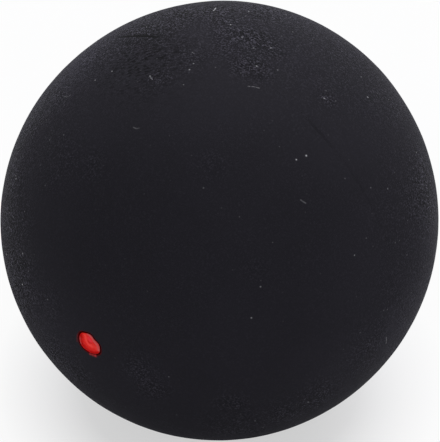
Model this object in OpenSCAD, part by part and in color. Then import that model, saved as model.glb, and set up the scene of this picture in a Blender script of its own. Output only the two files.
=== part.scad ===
// Squash ball: two moulded rubber half shells, cemented together round a sealed hollow.
// Lengths are in millimetres. The origin is the centre of the ball and +Z is up.
// The axis of the ball runs along Y, with the painted dot at the -Y pole.
// The joint of the two halves lies in the XZ plane.

/* [Ball] */
// Outer diameter of the ball
ball_d = 40; // [30:0.5:60]
// Thickness of the rubber wall
wall_t = 5.2; // [3:0.1:8]

/* [Joint] */
// Thickness of the cured cement between the two ground faces
cement_t = 0.2; // [0.1:0.05:0.3]
// Width of the fine groove that runs round the ball along the joint
groove_w = 0.4; // [0.35:0.05:0.8]
// Depth of that groove, if it ran to a point
groove_depth = 0.04; // [0.02:0.01:0.3]
// Diameter of the bead of cement that was squeezed into the hollow
bead_d = 1.2; // [0.8:0.1:2.5]

/* [Dot] */
// Width of the painted dot and of its pocket in the rubber
dot_d = 2.6; // [1.5:0.1:5]
// Height of the middle of the dot above the circle of its rim
dot_rise = 0.16; // [0.05:0.01:0.5]
// Depth of the flat floor of the pocket below the same circle
pocket_depth = 0.2; // [0.1:0.01:0.5]

/* [Hidden] */
$fn = 128;

// Overrun of every cut beyond the solid that it cuts
overrun = 1;

// Facets round the dot, which is far flatter than it is wide
dot_fn = 256;

outer_r = ball_d / 2;
inner_r = outer_r - wall_t;
bead_r = bead_d / 2;

// The cement ends where the flanks of the groove are as far apart as the two ground faces.
cement_r = outer_r - groove_depth * (1 - cement_t / groove_w);

// The rim of the dot is a circle on the round of the ball.
dot_r = dot_d / 2;
rim_y = -sqrt(pow(outer_r, 2) - pow(dot_r, 2));

rubber_colour = [0.11, 0.105, 0.125];
cement_colour = [0.06, 0.055, 0.06];
dot_colour = [0.78, 0.13, 0.14];

// The round, flat-floored pocket that the dot fills, carried on past the outside of the ball
module dot_pocket() {
    translate([0, rim_y + pocket_depth, 0])
        rotate([90, 0, 0])
            cylinder(r = dot_r, h = pocket_depth + dot_rise + overrun, $fn = dot_fn);
}

// The sphere whose cap is the domed top of the dot, with the rim of the dot as its edge
module dome_sphere() {
    dome_r = (pow(dot_r, 2) + pow(dot_rise, 2)) / (2 * dot_rise);
    translate([0, rim_y - dot_rise + dome_r, 0])
        sphere(r = dome_r, $fn = dot_fn);
}

// The groove along the joint, as a ring that is wedge-shaped in section
module joint_groove() {
    flank_slope = groove_w / 2 / groove_depth;
    reach = groove_depth + overrun;
    rotate([90, 0, 0])
        rotate_extrude()
            polygon([
                [outer_r - groove_depth, 0],
                [outer_r + overrun, flank_slope * reach],
                [outer_r + overrun, -flank_slope * reach],
            ]);
}

// One half of the hollow ball on the side of the joint that side gives: -1 is the front, 1 the rear.
module half_shell(side) {
    block = ball_d + 2 * overrun;
    difference() {
        intersection() {
            sphere(r = outer_r);
            translate([0, side * (cement_t + block) / 2, 0])
                cube(block, center = true);
        }
        sphere(r = inner_r);
        joint_groove();
    }
}

module front_half_shell() {
    color(rubber_colour)
        difference() {
            half_shell(-1);
            dot_pocket();
        }
}

module rear_half_shell() {
    color(rubber_colour)
        half_shell(1);
}

// A flat ring between the ground faces, and a bead along its inner edge that lies on the wall
module seam_cement() {
    color(cement_colour)
        rotate([90, 0, 0]) {
            difference() {
                cylinder(r = cement_r, h = cement_t, center = true);
                cylinder(r = inner_r - bead_r / 2, h = cement_t + 2 * overrun, center = true);
            }
            intersection() {
                rotate_extrude()
                    translate([inner_r, 0])
                        circle(r = bead_r);
                sphere(r = inner_r);
            }
        }
}

module speed_dot() {
    color(dot_colour)
        intersection() {
            dot_pocket();
            dome_sphere();
        }
}

front_half_shell();
rear_half_shell();
seam_cement();
speed_dot();
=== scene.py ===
import math

import bmesh
import bpy
import numpy as np
from mathutils import Matrix, Vector


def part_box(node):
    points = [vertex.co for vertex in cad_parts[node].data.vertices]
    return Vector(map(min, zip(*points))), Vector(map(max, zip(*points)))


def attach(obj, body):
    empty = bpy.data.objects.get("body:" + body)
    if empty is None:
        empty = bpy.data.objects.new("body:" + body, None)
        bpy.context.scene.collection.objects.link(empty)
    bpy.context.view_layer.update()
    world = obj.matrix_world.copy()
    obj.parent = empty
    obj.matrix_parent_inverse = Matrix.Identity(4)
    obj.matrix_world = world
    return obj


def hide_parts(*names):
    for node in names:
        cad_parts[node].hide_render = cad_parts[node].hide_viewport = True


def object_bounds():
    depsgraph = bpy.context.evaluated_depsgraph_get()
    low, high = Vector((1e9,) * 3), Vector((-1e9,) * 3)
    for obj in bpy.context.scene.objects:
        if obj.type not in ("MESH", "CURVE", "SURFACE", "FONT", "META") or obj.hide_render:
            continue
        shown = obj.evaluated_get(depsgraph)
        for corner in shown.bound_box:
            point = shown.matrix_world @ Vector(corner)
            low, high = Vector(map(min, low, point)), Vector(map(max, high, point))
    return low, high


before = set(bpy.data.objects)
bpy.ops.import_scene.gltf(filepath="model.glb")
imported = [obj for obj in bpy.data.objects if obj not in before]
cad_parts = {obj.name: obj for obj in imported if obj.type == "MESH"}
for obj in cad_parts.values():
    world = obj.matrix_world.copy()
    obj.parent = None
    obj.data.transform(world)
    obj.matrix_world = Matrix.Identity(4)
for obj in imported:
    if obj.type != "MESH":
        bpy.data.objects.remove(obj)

MM = 0.001
CAD_LOW, CAD_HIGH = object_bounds()

# The photograph's frame, and what is read off it there, in its pixels
PHOTO_W, PHOTO_H = 440, 442
BALL_PX = (219.8, 220.6)
BALL_RADIUS_PX = 219.3
DOT_PX = (88.9, 343.5)

# The camera has a long lens, and stands far enough away for the ball to fill the frame as it does there.
LENS_MM = 600
SENSOR_MM = 36
FOCAL_PX = LENS_MM / SENSOR_MM * max(PHOTO_W, PHOTO_H)
CLIP_FROM = 0.01

# How far a vertex of the CAD's outer round may lie under that round
ROUND_TOLERANCE = 0.0005 * MM


def node_radii(node):
    """The least and greatest distance of a CAD node's surface from the centre of the ball."""
    lengths = [v.co.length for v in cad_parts[node].data.vertices]
    return min(lengths), max(lengths)


def groove_edge(outer_r):
    """How far the edge of the groove lies from the plane of the joint."""
    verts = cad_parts["rear_half_shell"].data.vertices
    return min(v.co.y for v in verts if v.co.length > outer_r - ROUND_TOLERANCE)


# Sizes of the construction, read from the CAD parts
INNER_R, OUTER_R = node_radii("rear_half_shell")
GROOVE_Y = groove_edge(OUTER_R)
FACE_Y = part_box("rear_half_shell")[0].y
CEMENT_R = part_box("seam_cement")[1].x
BEAD_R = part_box("seam_cement")[1].y
DOT_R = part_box("speed_dot")[1].x
DOT_TOP_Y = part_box("speed_dot")[0].y
POCKET_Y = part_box("speed_dot")[1].y


def pixel_ray(pixel):
    """The direction in which the camera sees a pixel: right, up and backward."""
    x = pixel[0] - PHOTO_W / 2
    y = PHOTO_H / 2 - pixel[1]
    return Vector((x, y, -FOCAL_PX)).normalized()


# The centre of the ball in the camera's own axes
BALL_FROM_CAMERA = pixel_ray(BALL_PX) * (OUTER_R / math.sin(math.atan(BALL_RADIUS_PX / FOCAL_PX)))


def camera_side_point(pixel, lift=0.0):
    """The unit vector, in the camera's axes, from the ball's centre to what a pixel shows of its round.

    The lift is how far what is seen stands over the round."""
    ray = pixel_ray(pixel)
    along = ray.dot(BALL_FROM_CAMERA)
    aside = BALL_FROM_CAMERA.length_squared - along * along
    reach = along - math.sqrt(max((OUTER_R + lift) ** 2 - aside, 0.0))
    return (ray * reach - BALL_FROM_CAMERA).normalized()


def camera_turn():
    """The rotation from the ball's axes to the camera's, for a level camera that sees the dot at DOT_PX."""
    dot = camera_side_point(DOT_PX)
    azimuth = math.asin(-dot.x)
    elevation = math.atan2(-dot.y, dot.z)
    right = Vector((math.cos(azimuth), math.sin(azimuth), 0))
    back = Vector((math.sin(azimuth) * math.cos(elevation),
                   -math.cos(azimuth) * math.cos(elevation),
                   math.sin(elevation)))
    return Matrix((right, back.cross(right), back))


TURN = camera_turn()
VIEW_RIGHT, VIEW_UP, VIEW_BACK = TURN


def on_ball(pixel, lift=0.0):
    """The unit vector, in the ball's axes, from its centre to what a pixel shows of its round."""
    return TURN.transposed() @ camera_side_point(pixel, lift)


def line_on_ball(pixels, lift=0.0):
    """The points of the round that some pixels show."""
    return np.array([on_ball(pixel, lift) * OUTER_R for pixel in pixels])


def placed_lines(rows):
    """Lines given as (pixels along it, width in mm, strength), laid on the ball.

    Each comes back as (points on the round, width, strength)."""
    return [(line_on_ball(pixels), width * MM, strong) for pixels, width, strong in rows]


def distance_to_line(points, line):
    """The distance of each point from a line through one or more others."""
    if len(line) == 1:
        return np.linalg.norm(points - line[0], axis=1)
    best = np.full(len(points), np.inf)
    for start, end in zip(line, line[1:]):
        span = end - start
        share = np.clip((points - start) @ span / (span @ span), 0, 1)
        best = np.minimum(best, np.linalg.norm(points - start - share[:, None] * span, axis=1))
    return best


def near_line(points, line, width):
    """How near each point is to a line: one on it, and about a third at half its width."""
    return np.exp(-(distance_to_line(points, line) / (width / 2)) ** 2)


def strongest_line(points, lines):
    """The strongest of some placed lines at each point."""
    most = np.zeros(len(points))
    for line, width, strong in lines:
        most = np.maximum(most, strong * near_line(points, line, width))
    return most


def patch(points, pixel, radius):
    """A soft round patch about what a pixel shows."""
    away = np.linalg.norm(points - np.array(on_ball(pixel)) * OUTER_R, axis=1)
    return np.exp(-(away / radius) ** 2)


def strongest_patch(points, rows):
    """The strongest of some soft patches at each point, each given as (pixel, radius in mm, strength)."""
    most = np.zeros(len(points))
    for pixel, radius, strong in rows:
        most = np.maximum(most, strong * patch(points, pixel, radius * MM))
    return most


def about_axis(points):
    """The distance of each point from the ball's axis, and its angle about it."""
    return np.hypot(points[:, 0], points[:, 2]), np.arctan2(points[:, 2], points[:, 0])


def ways_in_joint(points):
    """The unit vectors in the plane of the joint that point the way of each point."""
    _, angles = about_axis(points)
    return np.stack([np.cos(angles), np.zeros_like(angles), np.sin(angles)], 1)


# The plane waves in a random field, and the range of their lengths as shares of the one asked for
WAVE_COUNT = 40
WAVE_SHORTEST, WAVE_LONGEST = 0.75, 1.4


def wave_field(points, wavelength, seed):
    """A smooth random field with a mean square of one, as a sum of plane waves near one wavelength."""
    rng = np.random.default_rng(seed)
    ways = rng.normal(size=(WAVE_COUNT, 3))
    ways /= np.linalg.norm(ways, axis=1)[:, None]
    lengths = wavelength * rng.uniform(WAVE_SHORTEST, WAVE_LONGEST, WAVE_COUNT)
    phases = rng.uniform(0, 2 * math.pi, WAVE_COUNT)
    angles = points @ (ways * (2 * math.pi / lengths)[:, None]).T + phases
    return np.sin(angles).sum(1) / math.sqrt(WAVE_COUNT / 2)


def uneven_height(points, rows):
    """The height of an uneven surface, from random fields given as (wavelength in mm, height in mm, seed)."""
    return sum(tall * MM * wave_field(points, wavelength * MM, seed) for wavelength, tall, seed in rows)


# Slow swells of the moulded round, as (waves round the outline, direction in the picture, height in mm)
SWELLS = ((2, 57.9, 0.094), (3, -57.4, 0.029), (4, -11.5, 0.030))
# Small uneven places all over it
UNEVEN = ((7.0, 0.006, 11), (2.6, 0.0022, 12), (1.3, 0.0010, 13))


def swell_direction(angle):
    """A direction in the plane of the picture, by its angle in degrees from the right."""
    a = math.radians(angle)
    return np.array(VIEW_RIGHT * math.cos(a) + VIEW_UP * math.sin(a))


def skin_height(ways):
    """How far the outer skin stands off the true round, for an array of unit vectors."""
    height = uneven_height(ways * OUTER_R, UNEVEN)
    for waves, angle, tall in SWELLS:
        lean = np.clip(ways @ swell_direction(angle), -1, 1)
        height += tall * MM * np.cos(waves * np.arccos(lean))
    return height


# Outline of the painted dot in the photograph, anticlockwise from the left
DOT_OUTLINE_PX = (
    (79.4, 338.8), (80.2, 342.5), (81.6, 345.2), (83.6, 347.7), (86.1, 349.8), (88.8, 351.6), (91.4, 353.1),
    (94.0, 353.9), (96.4, 353.9), (98.4, 353.2), (99.8, 351.4), (99.9, 349.2), (99.3, 346.7), (98.4, 344.3),
    (96.8, 342.1), (94.6, 340.5), (93.5, 338.6), (92.0, 336.4), (89.5, 334.7), (87.1, 333.5), (84.5, 333.0),
    (81.9, 332.9), (80.1, 334.0), (79.3, 336.3),
)
# How high over the round that outline is seen on the side of the limb
LIMB_RIM_HIGH = 0.03 * MM
# Waves used to round it
OUTLINE_WAVES = 7
# The way from the middle of the picture past the dot to the limb
LIMB_SIDE = Vector(DOT_PX) - Vector(BALL_PX)


def outline_terms(angles):
    """One column for each wave of the outline."""
    columns = [np.ones_like(angles)]
    for n in range(1, OUTLINE_WAVES + 1):
        columns += [np.cos(n * angles), np.sin(n * angles)]
    return np.array(columns).T


def outline_fit():
    """The radius of the dot's outline as a sum of waves of the angle about its pole."""
    angles, radii = [], []
    for pixel in DOT_OUTLINE_PX:
        near_limb = (Vector(pixel) - Vector(DOT_PX)).dot(LIMB_SIDE) > 0
        way = on_ball(pixel, LIMB_RIM_HIGH if near_limb else 0.0) * OUTER_R
        angles.append(math.atan2(way.z, way.x))
        radii.append(math.hypot(way.x, way.z))
    terms = outline_terms(np.array(angles))
    return np.linalg.lstsq(terms, np.array(radii), rcond=None)[0]


OUTLINE = outline_fit()


def dot_edge(angles):
    """The radius of the painted dot at angles about its pole."""
    return outline_terms(angles) @ OUTLINE


# The joint is ground almost flush: how far it lies under the round at most, the usual share of that, how much
# the share varies, and the least
SEAM_SUNK = 0.004 * MM
SEAM_USUAL, SEAM_VARIES, SEAM_LEAST = 0.4, 0.3, 0.15
SEAM_WAVE, SEAM_SEED = 9.0 * MM, 22
# Where the joint still shows as a dark line, as (pixels along it, width in mm, strength)
SEAM_TRACES = (
    (((126, 35.3), (140, 34.6), (152, 35.8)), 1.4, 1.45),
    (((312, 128), (319, 137), (326, 147)), 1.4, 0.36),
)
# How faintly it shows elsewhere, and how much that varies
FAINT_TRACE, TRACE_VARIES = 0.03, 0.05
TRACE_WAVE, TRACE_SEED = 7.0 * MM, 23


def seam_depth(points):
    """How far the joint lies under the round the way of each point."""
    share = SEAM_USUAL + SEAM_VARIES * wave_field(ways_in_joint(points) * OUTER_R, SEAM_WAVE, SEAM_SEED)
    return SEAM_SUNK * np.clip(share, SEAM_LEAST, 1.0)


def seam_trace(points):
    """How plainly the joint shows as a fine dark line near each point, from nought to one."""
    faint = FAINT_TRACE + TRACE_VARIES * wave_field(points, TRACE_WAVE, TRACE_SEED)
    return np.clip(np.maximum(faint, strongest_line(points, placed_lines(SEAM_TRACES))), 0.0, 1.0)


# The mark that each vertex carries: nought inside, one on the outer round, and two where that meets the
# ground face. Where an edge is split, the new mark may fall a hair short of one.
INSIDE, ON_ROUND, AT_SEAM = 0.0, 1.0, 2.0
NEARLY = 0.999
# Lengths of the mesh's edges: on the round, near the dot and inside
EDGE = 0.24 * MM
FINE_EDGE = 0.055 * MM
INSIDE_EDGE = 0.7 * MM
# How far from the dot's pole the edges are fine, and from where they are coarse
FINE_REACH = 1.9 * MM
COARSE_REACH = 4.0 * MM
# How far apart the rings lie, as a share of their edges: on the round, and next to the lip of the pocket
ROW, LIP_ROW = 0.87, 0.6
# The fewest points of a ring, and the radius under which it is a single point
FEWEST = 8
TINY = 1e-9
# The dark gap round the dot, on the side that the camera looks into and on the side of the limb
GAP, LIMB_GAP = 0.06 * MM, 0.15 * MM
# How far past the dot a pixel gives the way to the limb, as a share of the way there
LIMB_STEP = 0.1
# The rounded lip of the dot's pocket and its steps, the chamfer at the pocket's floor, and how far past the
# lip the painted shade of the gap reaches
LIP, LIP_STEPS = 0.11 * MM, 5
POCKET_CHAMFER = LIP / 4
GAP_SHADE_PAST = 0.05 * MM
# How far from the pole the pocket's uneven outline is felt
OUTLINE_REACH = 3.4 * MM


def edge_at(reach):
    """The length of the mesh's edges on the outer round, by distance from the dot's pole."""
    share = (reach - FINE_REACH) / (COARSE_REACH - FINE_REACH)
    return FINE_EDGE + (EDGE - FINE_EDGE) * min(max(share, 0.0), 1.0)


def steps(start, end, edge):
    """Evenly spaced values from start to end, about an edge apart, without the start."""
    count = max(1, round(abs(end - start) / edge))
    return [start + (end - start) * i / count for i in range(1, count + 1)]


def pocket_rings():
    """Rings of the pocket from its middle to its lip, as (radius, y, edge, mark)."""
    wall_r = DOT_R + GAP
    rings = [(0.0, POCKET_Y, FINE_EDGE, INSIDE)]
    for radius in steps(0.0, wall_r - POCKET_CHAMFER, 2 * FINE_EDGE):
        rings.append((radius, POCKET_Y, 2 * FINE_EDGE, INSIDE))
    rings.append((wall_r, POCKET_Y - POCKET_CHAMFER, FINE_EDGE, INSIDE))
    for i in range(LIP_STEPS):
        lean = i / LIP_STEPS * math.pi / 2
        radius = wall_r + LIP * (1 - math.cos(lean))
        depth = LIP * (1 - math.sin(lean))
        rings.append((radius, depth - math.sqrt(OUTER_R ** 2 - radius ** 2), FINE_EDGE, INSIDE))
    return rings


def round_rings(start, with_dot):
    """Rings of the outer round from a radius near the pole to the groove, as (radius, y, edge, mark)."""
    rings = []
    angle = math.asin(start / OUTER_R)
    last = math.acos(GROOVE_Y / OUTER_R)
    while angle < last:
        edge = edge_at(OUTER_R * angle) if with_dot else EDGE
        rings.append((OUTER_R * math.sin(angle), -OUTER_R * math.cos(angle), edge, ON_ROUND))
        angle += edge * ROW / OUTER_R
    rings[-1] = (OUTER_R * math.sin(last), -GROOVE_Y, EDGE, ON_ROUND)
    return rings


def inside_rings():
    """Rings of the groove's flank, the ground face and the wall of the hollow, as (radius, y, edge, mark)."""
    rings = [(math.sqrt(OUTER_R ** 2 - FACE_Y ** 2), -FACE_Y, EDGE, AT_SEAM)]
    face_inner = math.sqrt(INNER_R ** 2 - FACE_Y ** 2)
    rings += [(r, -FACE_Y, 2 * EDGE, INSIDE) for r in steps(CEMENT_R, face_inner, INSIDE_EDGE)]
    first = math.acos(FACE_Y / INNER_R)
    for angle in steps(first, 0.0, INSIDE_EDGE / INNER_R):
        rings.append((INNER_R * math.sin(angle), -INNER_R * math.cos(angle), INSIDE_EDGE, INSIDE))
    return rings


def ring_mesh(rings):
    """Vertices, faces and marks of a surface round Y, whose rings have as many points as they need."""
    verts, marks, spans = [], [], []
    for number, (radius, y, edge, mark) in enumerate(rings):
        count = 1 if radius < TINY else max(FEWEST, round(2 * math.pi * radius / edge))
        turn = 0.5 * (number % 2)
        spans.append((len(marks), count, turn))
        angles = (np.arange(count) + turn) * (2 * math.pi / count)
        verts.append(np.stack([radius * np.cos(angles), np.full(count, y), radius * np.sin(angles)], 1))
        marks += [mark] * count
    return np.concatenate(verts), zip_spans(spans), np.array(marks)


def zip_spans(spans):
    """Triangles between each ring and the next, each ring given as (first vertex, count, turn)."""
    return [face for first, second in zip(spans, spans[1:]) for face in zip_rings(first, second)]


def zip_rings(first, second):
    """Triangles between two rings, each given as (first vertex, count, turn)."""
    a0, na, ta = first
    b0, nb, tb = second
    if na == 1:
        return [(a0, b0 + j, b0 + (j + 1) % nb) for j in range(nb)]
    if nb == 1:
        return [(a0 + i, b0, a0 + (i + 1) % na) for i in range(na)]
    faces = []
    i = j = 0
    while i < na or j < nb:
        next_a = (i + 1 + ta) / na
        next_b = (j + 1 + tb) / nb
        if j >= nb or (i < na and next_a <= next_b):
            faces.append((a0 + i % na, b0 + j % nb, a0 + (i + 1) % na))
            i += 1
        else:
            faces.append((a0 + i % na, b0 + j % nb, b0 + (j + 1) % nb))
            j += 1
    return faces


def gap_width(angles):
    """The width of the gap round the dot, at angles about its pole."""
    limb_way = on_ball(Vector(DOT_PX) + LIMB_SIDE * LIMB_STEP)
    toward_limb = np.cos(angles - math.atan2(limb_way.z, limb_way.x))
    return GAP + (LIMB_GAP - GAP) * (1 + toward_limb) / 2


def fit_pocket_outline(verts):
    """Pushes the rings near the dot's pole in or out, so that the pocket follows the dot's own outline."""
    radius, angles = about_axis(verts)
    near = (verts[:, 1] < 0) & (radius < OUTLINE_REACH) & (radius > TINY)
    near &= np.linalg.norm(verts, axis=1) > (OUTER_R + INNER_R) / 2
    radius, angles = radius[near], angles[near]
    grow = dot_edge(angles) - DOT_R + gap_width(angles) - GAP
    inner = np.clip(radius / DOT_R, 0, 1)
    outer = np.clip((OUTLINE_REACH - radius) / (OUTLINE_REACH - DOT_R), 0, 1)
    eased = outer ** 2 * (3 - 2 * outer)
    scale = 1 + grow * inner * eased / radius
    verts[near, 0] *= scale
    verts[near, 2] *= scale


# Pale marks and specks in the rubber, as (pixel, width in mm, strength)
SPECKS = (
    ((230.5, 25.5), 0.11, 1.0), ((242, 38), 0.14, 0.5), ((253.5, 48.5), 0.11, 0.45),
    ((270.5, 48.5), 0.12, 0.9), ((256.5, 66.5), 0.11, 0.75), ((277.5, 70.5), 0.13, 0.35),
    ((193.5, 63.5), 0.09, 0.75), ((192.5, 52.5), 0.10, 0.35), ((189.5, 69.5), 0.12, 0.55),
    ((111.5, 70.5), 0.12, 0.55), ((183.5, 84.5), 0.09, 0.35), ((215.5, 67.5), 0.10, 0.2),
    ((248.5, 12.5), 0.12, 1.0), ((324.2, 98.5), 0.11, 0.95), ((367.5, 97.3), 0.12, 1.0),
    ((306.5, 155.5), 0.13, 1.0), ((296.5, 159.5), 0.11, 1.0), ((371.5, 187.5), 0.10, 0.3),
    ((388.5, 188.5), 0.11, 0.4), ((345.5, 178.3), 0.09, 0.25), ((279.5, 146.5), 0.08, 0.22),
    ((367.3, 238.3), 0.09, 0.3), ((355.5, 255.5), 0.10, 0.5), ((251.5, 318.3), 0.12, 0.65),
    ((260.7, 287), 0.12, 0.4), ((273, 242.5), 0.08, 0.2), ((203.5, 187.8), 0.12, 0.22),
    ((239.5, 216.7), 0.08, 0.25), ((63, 134.5), 0.10, 0.3), ((49, 139.5), 0.10, 0.45),
    ((15.5, 178.5), 0.13, 1.0), ((22.5, 253.5), 0.14, 1.0), ((22.5, 284.5), 0.14, 1.0),
    ((47.5, 299.5), 0.10, 0.45), ((168.7, 376.7), 0.10, 0.35), ((94.5, 79.5), 0.11, 0.7),
    ((150, 76), 0.11, 0.5), ((385, 311), 0.10, 0.3),
)
# Lint, hair scratches and scuffs, as (pixels along it, width in mm, strength)
STROKES = (
    (((248.2, 86.5), (251.8, 86.7), (255.3, 87.3), (259.5, 88.5)), 0.055, 0.36),
    (((149.6, 75.2), (150.4, 77.4), (152.2, 79.2)), 0.06, 0.34),
    (((213.6, 11.0), (214.8, 9.8), (215.8, 8.4)), 0.085, 0.9),
    (((63, 95.6), (66, 96.3), (69.5, 94.4)), 0.06, 0.2),
    (((133, 127), (136, 128.2), (139, 127.8)), 0.08, 0.2),
    (((301, 199.8), (303.6, 201.6), (306, 203)), 0.09, 0.2),
    (((387.2, 338), (387.6, 341), (387, 344)), 0.09, 0.32),
)
MARKS = placed_lines([((pixel,), width, strong) for pixel, width, strong in SPECKS] + list(STROKES))
# How high a full mark stands, and how far past the joint a shell still looks for marks
MARK_HIGH = 0.012 * MM
MARK_PAST = 1.0 * MM
# Splitting the mesh at the marks: the length of edge that it works toward, how much longer an edge may stay,
# how far from a mark it reaches in widths of that mark, and how often it is done
MARK_EDGE = 0.05 * MM
MARK_SLACK = 1.4
MARK_REACH = 1.6
MARK_ROUNDS = 3


def new_piece(name, verts, faces):
    """A mesh object in the scene."""
    mesh = bpy.data.meshes.new(name)
    mesh.from_pydata([tuple(v) for v in verts], [], faces)
    mesh.validate()
    piece = bpy.data.objects.new(name, mesh)
    bpy.context.scene.collection.objects.link(piece)
    return piece


def vertex_array(mesh):
    """The mesh's vertices as an array."""
    flat = np.zeros(len(mesh.vertices) * 3)
    mesh.vertices.foreach_get("co", flat)
    return flat.reshape(-1, 3)


def set_attribute(mesh, name, values):
    """A float value at each vertex, for the materials to read."""
    attribute = mesh.attributes.get(name) or mesh.attributes.new(name, "FLOAT", "POINT")
    attribute.data.foreach_set("value", np.asarray(values, np.float32))


def get_attribute(mesh, name):
    """A float attribute as an array."""
    values = np.zeros(len(mesh.vertices), np.float32)
    mesh.attributes[name].data.foreach_get("value", values)
    return values


def face_outward(piece):
    """Turns the faces of a piece outward."""
    bm = bmesh.new()
    bm.from_mesh(piece.data)
    bmesh.ops.recalc_face_normals(bm, faces=bm.faces)
    bm.to_mesh(piece.data)
    bm.free()


def refine_at_marks(piece, lines):
    """Splits the edges round each mark until they are short enough to carry it."""
    bm = bmesh.new()
    bm.from_mesh(piece.data)
    for _ in range(MARK_ROUNDS):
        bm.verts.ensure_lookup_table()
        points = np.array([v.co for v in bm.verts])
        near = np.zeros(len(points), bool)
        for line, width, _strong in lines:
            near |= distance_to_line(points, line) < width * MARK_REACH
        near_edges = [e for e in bm.edges if near[e.verts[0].index] or near[e.verts[1].index]]
        long_edges = [e for e in near_edges if e.calc_length() > MARK_EDGE * MARK_SLACK]
        if not long_edges:
            break
        bmesh.ops.subdivide_edges(bm, edges=long_edges, cuts=1)
        bmesh.ops.triangulate(bm, faces=[f for f in bm.faces if len(f.verts) > 3])
    bm.to_mesh(piece.data)
    bm.free()


# The middle of the side that is smooth, and the angles from it between which the grain comes in, in degrees
SMOOTH_PX = (180, 262)
SMOOTH_TO, GRAINY_FROM = 46, 86
# The strength of the grain on either side of those angles, and how late it comes in between them
BASE_GRAIN, FULL_GRAIN = 0.06, 0.48
GRAIN_CURVE = 1.5
# Where the grain is coarser, as (pixel, radius in mm, strength)
GRAIN_PATCHES = (
    ((244, 36), 3.3, 0.92), ((268, 48), 2.2, 0.68), ((252, 65), 2.0, 0.8), ((264, 11), 3.4, 1.4),
    ((214, 10), 3.0, 1.2), ((168, 13), 4.5, 1.25), ((144, 28), 4.4, 1.15), ((330, 80), 7.0, 0.22),
    ((230, 20), 2.6, 0.85), ((286, 22), 2.4, 0.55), ((192, 26), 2.2, 0.4), ((104, 46), 4.5, 0.8),
    ((188, 50), 3.6, 0.4), ((52, 92), 4.2, 0.8), ((32, 115), 3.8, 1.1), ((46, 122), 4.4, 0.26),
    ((6, 184), 5.4, 1.1), ((6, 228), 4.4, 1.2), ((11, 276), 4.5, 1.8), ((40, 300), 3.0, 0.4),
    ((158, 76), 1.8, 0.5), ((58, 156), 3.6, 0.24), ((92, 166), 1.8, 0.26), ((60, 362), 3.6, 0.85),
    ((142, 371), 2.0, 0.35), ((150, 386), 1.8, 0.45), ((255, 272), 1.4, 0.2), ((210, 165), 1.6, 0.2),
    ((327, 99), 1.0, 0.55), ((428, 190), 4.6, 1.1), ((388, 206), 3.6, 0.2), ((232, 404), 1.5, 0.5),
    ((246, 428), 4.2, 0.45), ((284, 416), 3.0, 0.5), ((318, 398), 2.8, 0.6), ((374, 350), 3.8, 0.45),
)
# Where the rubber is calmer than all round it, as (pixel, radius in mm, strength)
CALM_PATCHES = (((358, 146), 3.6, 0.6), ((396, 140), 3.6, 0.5), ((318, 60), 2.2, 0.3))
# Where the rubber is pale with a dusty bloom and, near the limb, a painted sheen, as (pixel, radius in mm,
# strength)
DUST_AND_SHEEN_PATCHES = (
    ((84, 56), 3.2, 0.84), ((62, 78), 3.0, 0.58), ((36, 106), 2.6, 0.45), ((118, 30), 3.0, 0.50),
    ((396, 332), 4.0, 0.42), ((418, 296), 4.0, 0.35), ((430, 240), 3.0, 0.30), ((300, 20), 2.6, 0.25),
    ((350, 362), 5.5, 0.20), ((48, 326), 4.8, 0.20), ((228, 312), 6.0, 0.13), ((352, 284), 5.0, 0.13),
    ((142, 374), 2.4, 0.20), ((214, 34), 2.6, 0.14),
)
# Where fine ripples run level across the rubber
RIPPLE_PX, RIPPLE_RADIUS = (145, 56), 4.7 * MM
# Thin traces of paint on the rubber beside the dot, as (pixels along it, width in mm, strength)
SMEARS = (
    (((92.8, 354.9), (95.3, 355.6)), 0.26, 0.75),
    (((90.0, 354.0), (91.8, 354.6)), 0.20, 0.5),
    (((77.6, 333.8), (77.0, 336.6), (77.1, 341.5)), 0.12, 0.12),
)
# How deep under the round the skin's unevenness goes, and the painted shade of the gap round the dot
SKIN_DEPTH, GAP_SHADE_DEPTH = 1.0 * MM, 0.5 * MM


def grain_strength(points):
    """How coarse the grain is at each point: nearly smooth on one side of the ball, and grainy round it."""
    ways = points / np.linalg.norm(points, axis=1)[:, None]
    turned = np.degrees(np.arccos(np.clip(ways @ np.array(on_ball(SMOOTH_PX)), -1, 1)))
    share = np.clip((turned - SMOOTH_TO) / (GRAINY_FROM - SMOOTH_TO), 0, 1)
    grain = BASE_GRAIN + (FULL_GRAIN - BASE_GRAIN) * share ** GRAIN_CURVE
    grain = np.maximum(grain, strongest_patch(points, GRAIN_PATCHES))
    for pixel, radius, strong in CALM_PATCHES:
        grain *= 1 - strong * patch(points, pixel, radius * MM)
    return grain


def gap_shade_round_dot(points):
    """How much painted shade of the gap round the dot there is at each point of the pocket, its lip and just
    past it.
    """
    radius, angles = about_axis(points)
    past_lip = radius - dot_edge(angles) - gap_width(angles) - LIP
    gap_shade = np.clip(0.5 - past_lip / (2 * GAP_SHADE_PAST), 0, 1)
    near_dot = (points[:, 1] < 0) & (np.linalg.norm(points, axis=1) > OUTER_R - GAP_SHADE_DEPTH)
    return np.where(near_dot, gap_shade, 0.0)


def set_rubber_masks(mesh, points, trace):
    """The masks that the rubber and the cement share. The grain is smoothed away where the joint shows."""
    set_attribute(mesh, "trace", trace)
    set_attribute(mesh, "grain", grain_strength(points) * (1 - trace))
    set_attribute(mesh, "ripple", patch(points, RIPPLE_PX, RIPPLE_RADIUS))
    # A dusty bloom, and a painted sheen near the limb
    set_attribute(mesh, "dust_and_sheen", strongest_patch(points, DUST_AND_SHEEN_PATCHES))


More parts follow.
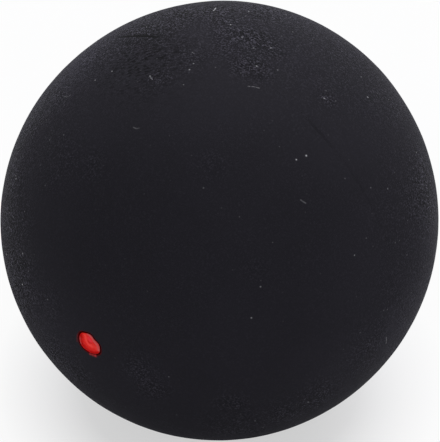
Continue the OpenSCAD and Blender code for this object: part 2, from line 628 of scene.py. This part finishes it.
def dress_skin(piece, lines):
    """Lays the vertices of the outer round on the uneven skin, and gives the materials their masks."""
    mesh = piece.data
    points = vertex_array(mesh)
    marks = get_attribute(mesh, "skin")
    lengths = np.linalg.norm(points, axis=1)
    ways = points / lengths[:, None]
    outer = marks > NEARLY * ON_ROUND
    at_seam = marks > (ON_ROUND + AT_SEAM) / 2
    points[outer] = ways[outer] * OUTER_R
    points[at_seam] -= ways[at_seam] * seam_depth(ways[at_seam])[:, None]
    wear = strongest_line(points, lines)
    near_skin = lengths > OUTER_R - SKIN_DEPTH
    lift = skin_height(ways) * near_skin + wear * outer * MARK_HIGH
    points += ways * lift[:, None]
    mesh.vertices.foreach_set("co", points.ravel())
    set_attribute(mesh, "wear", wear)
    set_attribute(mesh, "smear", strongest_line(points, placed_lines(SMEARS)))
    # Painted shade in the gap round the dot
    set_attribute(mesh, "gap_shade", gap_shade_round_dot(points))
    set_rubber_masks(mesh, points, seam_trace(points) * at_seam)
    mesh.update()


# Edges that turn by more than this many degrees stay crisp.
CRISP_ANGLE = 50


def finish_shading(piece, material, node):
    """Smooth shading with crisp corners, the material, and the piece's place in the construction."""
    piece.data.shade_smooth()
    piece.data.set_sharp_from_angle(angle=math.radians(CRISP_ANGLE))
    piece.data.materials.append(material)
    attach(piece, "root")
    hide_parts(node)


# The side of the joint on which a half shell lies, along Y
FRONT, REAR = -1, 1


def half_shell(name, node, side, material):
    """One moulded half: the front one has the dot's pocket, and the rear one is plain."""
    with_dot = side == FRONT
    rings = pocket_rings() if with_dot else [(0.0, -OUTER_R, EDGE, ON_ROUND)]
    start = rings[-1][0] + (FINE_EDGE * LIP_ROW if with_dot else EDGE * ROW)
    rings += round_rings(start, with_dot) + inside_rings()
    verts, faces, marks = ring_mesh(rings)
    if with_dot:
        fit_pocket_outline(verts)
    else:
        verts[:, 1] *= -1
        faces = [tuple(reversed(face)) for face in faces]
    piece = new_piece(name, verts, faces)
    set_attribute(piece.data, "skin", marks)
    lines = [mark for mark in MARKS if mark[0][0][1] * side > -MARK_PAST]
    refine_at_marks(piece, lines)
    dress_skin(piece, lines)
    finish_shading(piece, material, node)


# The layer of cement fills nearly all of the space between the ground faces, and its edge lies just under the
# rubber beside it.
CEMENT_Y = 0.98 * FACE_Y
CEMENT_SUNK = 0.001 * MM
CEMENT_EDGE = 0.3 * MM
CEMENT_ROW = 1.2 * MM
# The bead of cement inside the hollow, and its uneven places
BEAD_STEPS = 14
BEAD_UNEVEN = ((4.0, 0.03, 21),)
# A vertex this far past the CAD's cement lies on the edge of the layer.
EDGE_TOLERANCE = 0.01 * MM


def cement_rings():
    """Rings round the cement's cross section, as (radius, y, edge, mark), where a mark of one is the bead."""
    across = steps(CEMENT_R, INNER_R, CEMENT_ROW)
    rings = [(OUTER_R, y, CEMENT_EDGE, 0.0) for y in (-CEMENT_Y, CEMENT_Y)]
    rings += [(r, CEMENT_Y, 2 * CEMENT_EDGE, 0.0) for r in across]
    first = math.asin(FACE_Y / BEAD_R)
    for i in range(BEAD_STEPS + 1):
        lean = first + (math.pi - 2 * first) * i / BEAD_STEPS
        y = BEAD_R * math.cos(lean)
        radius = INNER_R - BEAD_R * math.sin(lean)
        rings.append((min(radius, math.sqrt(INNER_R ** 2 - y * y)), y, 2 * CEMENT_EDGE, 1.0))
    rings += [(r, -CEMENT_Y, 2 * CEMENT_EDGE, 0.0) for r in reversed(across)]
    # The first ring comes again at the end. Its points are turned half a step there, and stay apart.
    return rings + rings[:1]


def cement_ring(material):
    """The layer of cement between the ground faces, and the bead that was squeezed into the hollow."""
    verts, faces, on_bead = ring_mesh(cement_rings())
    piece = new_piece("seam_cement_ring", verts, faces)
    points = vertex_array(piece.data)
    outward = ways_in_joint(points)
    points -= outward * (uneven_height(outward * INNER_R, BEAD_UNEVEN) * on_bead)[:, None]
    lengths = np.linalg.norm(points, axis=1)
    at_edge = lengths > CEMENT_R + EDGE_TOLERANCE
    ways = points[at_edge] / lengths[at_edge][:, None]
    points[at_edge] = ways * (OUTER_R - seam_depth(ways) - CEMENT_SUNK + skin_height(ways))[:, None]
    piece.data.vertices.foreach_set("co", points.ravel())
    set_rubber_masks(piece.data, points, seam_trace(points))
    face_outward(piece)
    finish_shading(piece, material, "seam_cement")


# How high most of the paint stands over the round, by the CAD's dome, and its rim as a share of that
PAINT_HIGH = 0.7 * (-DOT_TOP_Y - OUTER_R)
RIM_SHARE = 0.15
# How sharply its dome turns down toward the rim, and how sharply the lumps fade out there
DOME_POWER, LUMP_POWER = 9, 6
# Lumps in the paint, as (wavelength in mm, height in mm, seed)
PAINT_LUMPS = ((0.9, 0.008, 31), (0.35, 0.003, 32))
DOT_EDGE_LENGTH = 0.045 * MM
# How far below its rim the paint's wall takes the painted shade of the gap, and how far its underside stays
# off the pocket's floor
DARK_BELOW = 0.05 * MM
PAINT_CLEAR = 0.002 * MM
# Where the paint stands in a thick lip with a painted highlight, and in a thinner one
LIP_PX = (
    (87.5, 333.7), (89.7, 335.2), (92.3, 337.7), (94.2, 340.8), (96.6, 343.4), (98.4, 346.9), (99.3, 350.4),
)
LEFT_LIP_PX = ((79.8, 337.6), (79.9, 340.6), (80.9, 343.6))
# Where its side away from the light is darkened with painted shade
SHADED_SIDE_PX = (
    (80.4, 334.6), (80.8, 339.7), (82.3, 344.4), (86.1, 348.5), (90.6, 351.6), (95.2, 353.7), (98.4, 353.2),
)
# Where it lies in a ridge with a painted highlight, has a pinkish painted highlight, is warm, and keeps a
# small hollow crescent with painted shade
RIDGE_PX = ((84.8, 335.4), (85.6, 337.4), (86.3, 341.0), (88.6, 344.4), (92.0, 346.5))
PINK_PX = ((88.9, 338.6), (90.6, 340.8))
WARM_PX = ((91.5, 344.6), (94.8, 346.6), (96.8, 349.4))
CRESCENT_PX = ((87.9, 341.4), (89.2, 343.2), (91.4, 343.3))
# The masks of these, as (pixels along it, the share of the paint's height at which it is seen, width in mm,
# height over the rest of the paint in mm)
PAINT_MARKS = {
    "lip": (LIP_PX, 0.5, 0.26, 0.040),
    "left_lip": (LEFT_LIP_PX, 1.0, 0.14, 0.012),
    "shaded_side": (SHADED_SIDE_PX, 1.0, 0.50, -0.022),
    "ridge": (RIDGE_PX, 1.0, 0.32, 0.016),
    "pink": (PINK_PX, 1.0, 0.34, 0.012),
    "crescent": (CRESCENT_PX, 1.0, 0.13, -0.026),
    "warm": (WARM_PX, 1.0, 0.48, 0.010),
}
# The share of their height that they keep at the rim
MARK_AT_RIM = 0.3


def paint_mask(points, name):
    """How much of one of the marks in the paint there is at each point, from nought to one."""
    pixels, seen_at, width, _tall = PAINT_MARKS[name]
    return near_line(points, line_on_ball(pixels, seen_at * PAINT_HIGH), width * MM)


def dot_height(share, points):
    """The height of the paint over the ball's round, by its share of the way out and its place."""
    dome = np.sqrt(np.clip(1 - share ** DOME_POWER, 0, 1))
    height = PAINT_HIGH * (RIM_SHARE + (1 - RIM_SHARE) * dome)
    for name, (_pixels, _seen_at, _width, tall) in PAINT_MARKS.items():
        height += tall * MM * paint_mask(points, name) * (MARK_AT_RIM + (1 - MARK_AT_RIM) * dome)
    return height + uneven_height(points, PAINT_LUMPS) * (1 - share ** LUMP_POWER)


def paint_top():
    """The upper side of the paint: its vertices, its faces, and the place of each vertex on the round."""
    radii = [0.0] + steps(0.0, DOT_R, DOT_EDGE_LENGTH)
    flat, faces, _ = ring_mesh([(radius, 0.0, DOT_EDGE_LENGTH, ON_ROUND) for radius in radii])
    radius, angles = about_axis(flat)
    share = radius / DOT_R
    grown = share * dot_edge(angles)
    y = -np.sqrt(OUTER_R ** 2 - grown ** 2)
    places = np.stack([grown * np.cos(angles), y, grown * np.sin(angles)], 1)
    ways = places / OUTER_R
    high = OUTER_R + dot_height(share, places) + skin_height(ways)
    return ways * high[:, None], faces, places


def speed_dot(material):
    """The dot of paint: a low lump with rounded edges, seated in its pocket."""
    top, faces, places = paint_top()
    count = round(2 * math.pi * DOT_R / DOT_EDGE_LENGTH)
    rim_first, dark_first = len(top) - count, len(top)
    floor_first, centre = dark_first + count, dark_first + 2 * count
    rim = top[rim_first:]
    dark = rim + np.array([0.0, DARK_BELOW, 0.0])
    underside = rim.copy()
    underside[:, 1] = POCKET_Y - PAINT_CLEAR
    middle = [[0.0, POCKET_Y - PAINT_CLEAR, 0.0]]
    sides = [(first, count, 0.0) for first in (rim_first, dark_first, floor_first)]
    faces += zip_spans(sides + [(centre, 1, 0.0)])
    piece = new_piece("speed_dot_paint", np.concatenate([top, dark, underside, middle]), faces)
    face_outward(piece)
    places = np.concatenate([places, places[rim_first:], places[rim_first:], [[0.0, -OUTER_R, 0.0]]])
    for name in PAINT_MARKS:
        set_attribute(piece.data, name, paint_mask(places, name))
    # The paint's wall below its rim takes the painted shade of the gap.
    set_attribute(piece.data, "sunk", np.arange(len(places)) >= dark_first)
    finish_shading(piece, material, "speed_dot")


# The sockets of a Mix node that blends colours
MIX_SHARE, MIX_FIRST, MIX_SECOND, MIX_RESULT = 0, 6, 7, 2


class Nodes:
    """A short way to write the nodes of a material or a world. Each call adds one and returns its output."""

    def __init__(self, owner):
        owner.use_nodes = True
        self.owner = owner
        self.tree = owner.node_tree
        self.tree.nodes.clear()

    def add(self, kind, inputs=None, **settings):
        """The node itself, with its inputs set, or linked where a socket is given."""
        made = self.tree.nodes.new(kind)
        for name, value in settings.items():
            setattr(made, name, value)
        for name, value in (inputs or {}).items():
            if isinstance(value, bpy.types.NodeSocket):
                self.tree.links.new(value, made.inputs[name])
            else:
                made.inputs[name].default_value = value
        return made

    def math(self, operation, first, second):
        """A sum or the like of two values."""
        return self.add("ShaderNodeMath", {0: first, 1: second}, operation=operation).outputs[0]

    def times(self, first, second):
        """The product of two values."""
        return self.math("MULTIPLY", first, second)

    def span(self, value, low, high, to_low=0.0, to_high=1.0):
        """A value brought from one range to another, and kept within it."""
        inputs = {"Value": value, "From Min": low, "From Max": high, "To Min": to_low, "To Max": to_high}
        return self.add("ShaderNodeMapRange", inputs).outputs[0]

    def blend(self, share, first, second):
        """Two colours mixed, with a share of the second."""
        inputs = {MIX_SHARE: share, MIX_FIRST: first, MIX_SECOND: second}
        return self.add("ShaderNodeMix", inputs, data_type="RGBA").outputs[MIX_RESULT]

    def attribute(self, name):
        """One of the masks on the mesh."""
        return self.add("ShaderNodeAttribute", attribute_name=name).outputs["Fac"]

    def place(self):
        """The place on the object."""
        return self.add("ShaderNodeTexCoord").outputs["Object"]

    def noise(self, place, size, detail=2.0, roughness=0.5):
        """Soft random mottling with features of about a size."""
        inputs = {"Vector": place, "Scale": 1 / size, "Detail": detail, "Roughness": roughness}
        return self.add("ShaderNodeTexNoise", inputs).outputs["Fac"]

    def cells(self, place, size):
        """Random cells of about a size, as (the distance from a cell's middle, a number of its own)."""
        cell = self.add("ShaderNodeTexVoronoi", {"Vector": place, "Scale": 1 / size})
        number = self.add("ShaderNodeSeparateColor", {0: cell.outputs["Color"]}).outputs[0]
        return cell.outputs["Distance"], number

    def bump(self, height, distance, after=None):
        """The normal over a height, laid on another normal if one is given."""
        inputs = {"Height": height, "Distance": distance}
        if after is not None:
            inputs["Normal"] = after
        return self.add("ShaderNodeBump", inputs).outputs[0]

    def finish(self, shader, kind="ShaderNodeOutputMaterial"):
        """Links the shader to the output, and returns the material or world."""
        self.add(kind, {"Surface": shader})
        return self.owner


# Colours, as linear red, green, blue and alpha
WHITE = (1, 1, 1, 1)
RUBBER = (0.0112, 0.0106, 0.0136, 1)
RUBBER_DUSTY = (0.0149, 0.0141, 0.0179, 1)
RUBBER_PALE = (0.0640, 0.0607, 0.0762, 1)
# The next colour is a dusty bloom, and a painted sheen where it lies near the limb.
RUBBER_DUST_AND_SHEEN = (0.0270, 0.0255, 0.0340, 1)
# The next colour is for pits in the grain, and for the painted shade in the ripples' furrows.
RUBBER_PIT = (0.0008, 0.0008, 0.0010, 1)
# The next colour is for pale specks and marks, and for the painted glints on the grain.
PALE_MARK = (0.44, 0.44, 0.45, 1)
SMEAR = (0.64, 0.052, 0.052, 1)
# The next colour is painted shade in the gap round the dot, tinted dark red.
GAP_SHADE = (0.075, 0.0003, 0.0006, 1)
CEMENT = (0.0008, 0.0008, 0.0010, 1)
PAINT = (0.78, 0.0190, 0.0130, 1)
PAINT_WARM = (0.84, 0.039, 0.031, 1)
# The next colour is painted shade on the dot, and the three after it are painted highlights on it.
PAINT_SHADE = (0.43, 0.0004, 0.0004, 1)
PAINT_RIDGE_HIGHLIGHT = (1.00, 0.074, 0.058, 1)
PAINT_PINK_HIGHLIGHT = (0.96, 0.052, 0.085, 1)
PAINT_HIGHLIGHT = (0.56, 0.135, 0.134, 1)

# A name that ends in SPAN holds two values of a pattern, and what they become if not nought and one.
# The rubber's dusty haze: its size, detail and roughness, and how much it shows
HAZE = (6.0 * MM, 3.0, 0.55)
HAZE_SPAN, HAZE_SHARE = (0.35, 0.68), 0.6
# How rough the rubber is, by the haze
ROUGH_SPAN = (0.3, 0.7, 0.74, 0.84)
# The blotches in which the grain comes and goes
BLOTCH_SIZE, BLOTCH_SPAN = 2.4 * MM, (0.36, 0.64, 0.7, 1.2)
# The grains and their clumps, how high the coarsest stand, and which are pale or are pits
GRAIN_SIZE, GRAIN_HIGH = 0.128 * MM, 0.045 * MM
CLUMP_SIZE, CLUMP_SPAN = 0.165 * MM, (0.34, 0.66)
PALE_SPAN, PIT_SPAN = (0.58, 0.90), (0.62, 0.33)
# The shallow unevenness that shows at a slant, and how much of it there is by the strength of the grain
WORN_SIZE, WORN_HIGH = 0.42 * MM, 0.03 * MM
WORN_SPAN = (0.1, 0.8, 0.25, 1.0)
# The patches that may hold a painted glint each, which of them do, and its fading out from the middle
SPARKLE_SIZE = 0.55 * MM
SPARKLE_CHOSEN_SPAN, SPARKLE_FADE_SPAN = (0.86, 0.99), (0.05, 0.17, 0.9, 0.0)
# The width, length and depth of the fine ripples, and how dark the painted shade in their furrows is
RIPPLE_SHORT, RIPPLE_LONG, RIPPLE_DEEP = 0.20 * MM, 0.70 * MM, 0.02 * MM
RIPPLE_SHADE_SPAN = (0.48, 0.64, 0.0, 0.9)
# How much the rubber reflects, and the powdery sheen at its edges
RUBBER_GLOSS = 0.066
RUBBER_SHEEN, SHEEN_ROUGH, SHEEN_TINT = 0.028, 0.2, (0.88, 0.88, 1.0, 1)
# How marks and smears are broken up
BROKEN_SIZE, BROKEN_SPAN = 0.22 * MM, (0.32, 0.55)
MARK_SPAN, SMEAR_SPAN = (0.0, 1.0, 0.45, 1.0), (0.0, 1.0, 0.5, 1.0)


def ripples(n, place):
    """Fine ripples that run level in the picture."""
    across = math.atan2(VIEW_RIGHT.y, VIEW_RIGHT.x)
    turned = n.add("ShaderNodeMapping", {"Vector": place, "Rotation": (0, 0, -across)}).outputs[0]
    stretch = (RIPPLE_SHORT / RIPPLE_LONG, 1, 1)
    drawn = n.add("ShaderNodeMapping", {"Vector": turned, "Scale": stretch}).outputs[0]
    return n.noise(drawn, RIPPLE_SHORT, 1.0)


def painted_glints(n, place):
    """Painted glints: small pale specks on the grain, one in a few of the cells."""
    distance, number = n.cells(place, SPARKLE_SIZE)
    return n.times(n.span(number, *SPARKLE_CHOSEN_SPAN), n.span(distance, *SPARKLE_FADE_SPAN))


def rubber_look(n, place):
    """The colour, normal and roughness of moulded rubber, whose grain comes and goes in blotches."""
    haze = n.noise(place, *HAZE)
    blotch = n.span(n.noise(place, BLOTCH_SIZE), *BLOTCH_SPAN)
    grain = n.times(n.attribute("grain"), blotch)
    distance, own_tone = n.cells(place, GRAIN_SIZE)
    clump = n.span(n.noise(place, CLUMP_SIZE, 1.0), *CLUMP_SPAN)
    tone = n.times(n.math("ADD", own_tone, clump), 0.5)
    wave = ripples(n, place)
    rippled = n.attribute("ripple")
    colour = n.blend(n.times(n.span(haze, *HAZE_SPAN), HAZE_SHARE), RUBBER, RUBBER_DUSTY)
    # A dusty bloom, and a painted sheen near the limb
    colour = n.blend(n.attribute("dust_and_sheen"), colour, RUBBER_DUST_AND_SHEEN)
    colour = n.blend(n.times(n.span(tone, *PALE_SPAN), grain), colour, RUBBER_PALE)
    colour = n.blend(n.times(n.span(tone, *PIT_SPAN), grain), colour, RUBBER_PIT)
    # Painted shade in the ripples' furrows
    colour = n.blend(n.times(n.span(wave, *RIPPLE_SHADE_SPAN), rippled), colour, RUBBER_PIT)
    # Painted glints on the grain
    colour = n.blend(n.times(painted_glints(n, place), grain), colour, PALE_MARK)
    normal = n.bump(n.times(n.math("SUBTRACT", 0.5, distance), grain), GRAIN_HIGH)
    normal = n.bump(n.times(wave, rippled), -RIPPLE_DEEP, normal)
    worn = n.times(n.noise(place, WORN_SIZE, 1.0), n.span(grain, *WORN_SPAN))
    normal = n.bump(worn, WORN_HIGH, normal)
    return colour, normal, n.span(haze, *ROUGH_SPAN)


def rubber_shader(n, colour, normal, rough):
    """Matt rubber with a little gloss, and a powdery sheen at its edges."""
    return n.add("ShaderNodeBsdfPrincipled", {
        "Base Color": colour,
        "Roughness": rough,
        "Specular IOR Level": RUBBER_GLOSS,
        "Sheen Weight": RUBBER_SHEEN,
        "Sheen Roughness": SHEEN_ROUGH,
        "Sheen Tint": SHEEN_TINT,
        "Normal": normal,
    }).outputs[0]


def rubber_material():
    """Matt black rubber, with pale specks and marks, painted shade in the gap round the dot, and smears of
    paint about it.
    """
    n = Nodes(bpy.data.materials.new("black_rubber"))
    place = n.place()
    colour, normal, rough = rubber_look(n, place)
    broken = n.span(n.noise(place, BROKEN_SIZE, 1.0), *BROKEN_SPAN)
    colour = n.blend(n.attribute("trace"), colour, CEMENT)
    colour = n.blend(n.times(n.attribute("wear"), n.span(broken, *MARK_SPAN)), colour, PALE_MARK)
    # Painted shade in the gap round the dot, tinted dark red
    colour = n.blend(n.attribute("gap_shade"), colour, GAP_SHADE)
    colour = n.blend(n.times(n.attribute("smear"), n.span(broken, *SMEAR_SPAN)), colour, SMEAR)
    return n.finish(rubber_shader(n, colour, normal, rough))


def cement_material():
    """Cured rubber cement: ground and scuffed with the shells, and darker where the joint shows."""
    n = Nodes(bpy.data.materials.new("rubber_cement"))
    colour, normal, rough = rubber_look(n, n.place())
    colour = n.blend(n.attribute("trace"), colour, CEMENT)
    return n.finish(rubber_shader(n, colour, normal, rough))


# How the paint's painted shade and the painted highlights on its lips are broken up
PATCHY_SIZE, PATCHY_SPAN = 0.5 * MM, (0.35, 0.65, 0.75, 1.15)
# How strongly each of the paint's marks is coloured
RIDGE_SHARE, PINK_SHARE, CRESCENT_SHARE, LIP_SHARE, LEFT_LIP_SHARE = 0.75, 0.65, 0.55, 0.7, 0.6
# The paint's fine unevenness and its height, how rough it is by that, and how much it reflects
FINE_SIZE, FINE_HIGH = 0.10 * MM, 0.006 * MM
PAINT_ROUGH_SPAN = (0.3, 0.7, 0.48, 0.62)
PAINT_GLOSS = 0.03


def paint_material():
    """Red rubber paint: satin and uneven, with painted highlights on its lips, its ridge and its pink spot,
    and painted shade on its side away from the light, in its crescent and on its wall in the gap.
    """
    n = Nodes(bpy.data.materials.new("red_dot_paint"))
    place = n.place()
    patchy = n.span(n.noise(place, PATCHY_SIZE), *PATCHY_SPAN)
    colour = n.blend(n.attribute("warm"), PAINT, PAINT_WARM)
    # Painted highlights on the ridge and the pink spot
    colour = n.blend(n.times(n.attribute("ridge"), RIDGE_SHARE), colour, PAINT_RIDGE_HIGHLIGHT)
    colour = n.blend(n.times(n.attribute("pink"), PINK_SHARE), colour, PAINT_PINK_HIGHLIGHT)
    # Painted shade on the dot's side away from the light
    colour = n.blend(n.times(n.attribute("shaded_side"), patchy), colour, PAINT_SHADE)
    # Painted shade in the small hollow crescent
    colour = n.blend(n.times(n.attribute("crescent"), CRESCENT_SHARE), colour, PAINT_SHADE)
    lips = n.math("MAXIMUM", n.attribute("lip"), n.times(n.attribute("left_lip"), LEFT_LIP_SHARE))
    # Painted highlight along the lips of the dot
    colour = n.blend(n.times(n.times(lips, patchy), LIP_SHARE), colour, PAINT_HIGHLIGHT)
    # Painted shade of the gap on the paint's wall below its rim
    colour = n.blend(n.attribute("sunk"), colour, GAP_SHADE)
    fine = n.noise(place, FINE_SIZE)
    shader = n.add("ShaderNodeBsdfPrincipled", {
        "Base Color": colour,
        "Roughness": n.span(fine, *PAINT_ROUGH_SPAN),
        "Specular IOR Level": PAINT_GLOSS,
        "Normal": n.bump(fine, FINE_HIGH),
    })
    return n.finish(shader.outputs[0])


# The floor is a wide disc that the ball rests on, of pale mottled card.
FLOOR_R, FLOOR_CORNERS = 3.0, 96
FLOOR_GREY, FLOOR_DARKER = 0.64, 0.6304
CARD_SIZE = 4.0 * MM
# How much of its look is plain white for the eye, near the ball and away from it. The rest is lit.
NEAR_WHITE, FLOOR_WHITE = 0.55, 0.90
# Between which distances from the foot of the ball the white grows, for the eye and in reflections
EYE_FROM, EYE_FULL = 13 * MM, 21 * MM
GLOSS_FROM, GLOSS_FULL = 26 * MM, 52 * MM
# The light is a little cool, but for what the camera sees of the white surround.
COOL = (0.955, 0.955, 1.0)
# Even light from all round, and two soft panels beyond the ball, as (name, turn, elevation, radiance)
WORLD_LIGHT = 0.735
PANEL_SIZE = 1.125
PANEL_AWAY = 1.5
PANELS = (("panel_back", 0.0, 40.0, 2.92), ("panel_right", 45.0, 55.0, 2.99))


def ray_is(n, *kinds):
    """One for a ray of any of these kinds, as Light Path names them, and nought for others."""
    path = n.add("ShaderNodeLightPath").outputs
    share = path[kinds[0]]
    for kind in kinds[1:]:
        share = n.math("MAXIMUM", share, path[kind])
    return share


def white_or_cool(n):
    """Plain white for what the camera sees directly, and the cool colour of the light for everything else."""
    return n.blend(ray_is(n, "Is Camera Ray"), (*COOL, 1), WHITE)


def floor_material():
    """Pale matt floor that keeps the ball's shadow."""
    n = Nodes(bpy.data.materials.new("pale_floor"))
    place = n.place()
    greys = [(level, level, level, 1) for level in (FLOOR_GREY, FLOOR_DARKER)]
    matt = n.add("ShaderNodeBsdfDiffuse", {"Color": n.blend(n.noise(place, CARD_SIZE), *greys)})
    white = n.add("ShaderNodeEmission", {"Color": white_or_cool(n), "Strength": 1.0})
    away = n.add("ShaderNodeVectorMath", {0: place}, operation="LENGTH").outputs["Value"]
    eye = n.times(ray_is(n, "Is Camera Ray"), n.span(away, EYE_FROM, EYE_FULL, NEAR_WHITE, FLOOR_WHITE))
    gloss = n.times(ray_is(n, "Is Glossy Ray", "Is Transmission Ray"), n.span(away, GLOSS_FROM, GLOSS_FULL))
    share = n.math("MAXIMUM", eye, gloss)
    mixed = n.add("ShaderNodeMixShader", {0: share, 1: matt.outputs[0], 2: white.outputs[0]})
    return n.finish(mixed.outputs[0])


def lay_floor(material):
    """The wide pale disc under the ball."""
    angles = [2 * math.pi * i / FLOOR_CORNERS for i in range(FLOOR_CORNERS)]
    verts = [(FLOOR_R * math.cos(a), FLOOR_R * math.sin(a), 0) for a in angles]
    piece = new_piece("floor", verts, [tuple(range(FLOOR_CORNERS))])
    piece.location.z = CAD_LOW.z
    piece.data.materials.append(material)


def light_world():
    """An even pale surround, white to the eye and in reflections."""
    n = Nodes(bpy.data.worlds.new("surround"))
    seen = ray_is(n, "Is Camera Ray", "Is Glossy Ray", "Is Transmission Ray")
    strength = n.span(seen, 0.0, 1.0, WORLD_LIGHT, 1.0)
    back = n.add("ShaderNodeBackground", {"Color": white_or_cool(n), "Strength": strength})
    bpy.context.scene.world = n.finish(back.outputs[0], "ShaderNodeOutputWorld")


def hang_panel(name, turn, elevation, radiance):
    """A square soft lamp that faces the ball. Its turn is to the right of straight beyond the ball."""
    beyond = -Vector((VIEW_BACK.x, VIEW_BACK.y, 0)).normalized()
    a, e = math.radians(turn), math.radians(elevation)
    way = (beyond * math.cos(a) + VIEW_RIGHT * math.sin(a)) * math.cos(e) + Vector((0, 0, math.sin(e)))
    lamp = bpy.data.lights.new(name, "AREA")
    lamp.shape = "SQUARE"
    lamp.size = PANEL_SIZE
    lamp.energy = math.pi * PANEL_SIZE ** 2 * radiance
    lamp.color = COOL
    held = bpy.data.objects.new(name, lamp)
    held.location = way * PANEL_AWAY
    held.rotation_mode = "QUATERNION"
    held.rotation_quaternion = way.to_track_quat("Z", "Y")
    bpy.context.scene.collection.objects.link(held)


def place_camera():
    """The camera, at the photograph's viewing angle."""
    data = bpy.data.cameras.new("camera")
    data.lens = LENS_MM
    data.sensor_width = SENSOR_MM
    data.clip_start = CLIP_FROM
    held = bpy.data.objects.new("camera", data)
    placed = TURN.transposed().to_4x4()
    placed.translation = -(TURN.transposed() @ BALL_FROM_CAMERA)
    held.matrix_world = placed
    bpy.context.scene.collection.objects.link(held)
    bpy.context.scene.camera = held


bpy.context.scene.view_settings.view_transform = "Standard"
place_camera()
light_world()
for lamp in PANELS:
    hang_panel(*lamp)
lay_floor(floor_material())
rubber = rubber_material()
half_shell("front_half_skin", "front_half_shell", FRONT, rubber)
half_shell("rear_half_skin", "rear_half_shell", REAR, rubber)
cement_ring(cement_material())
speed_dot(paint_material())
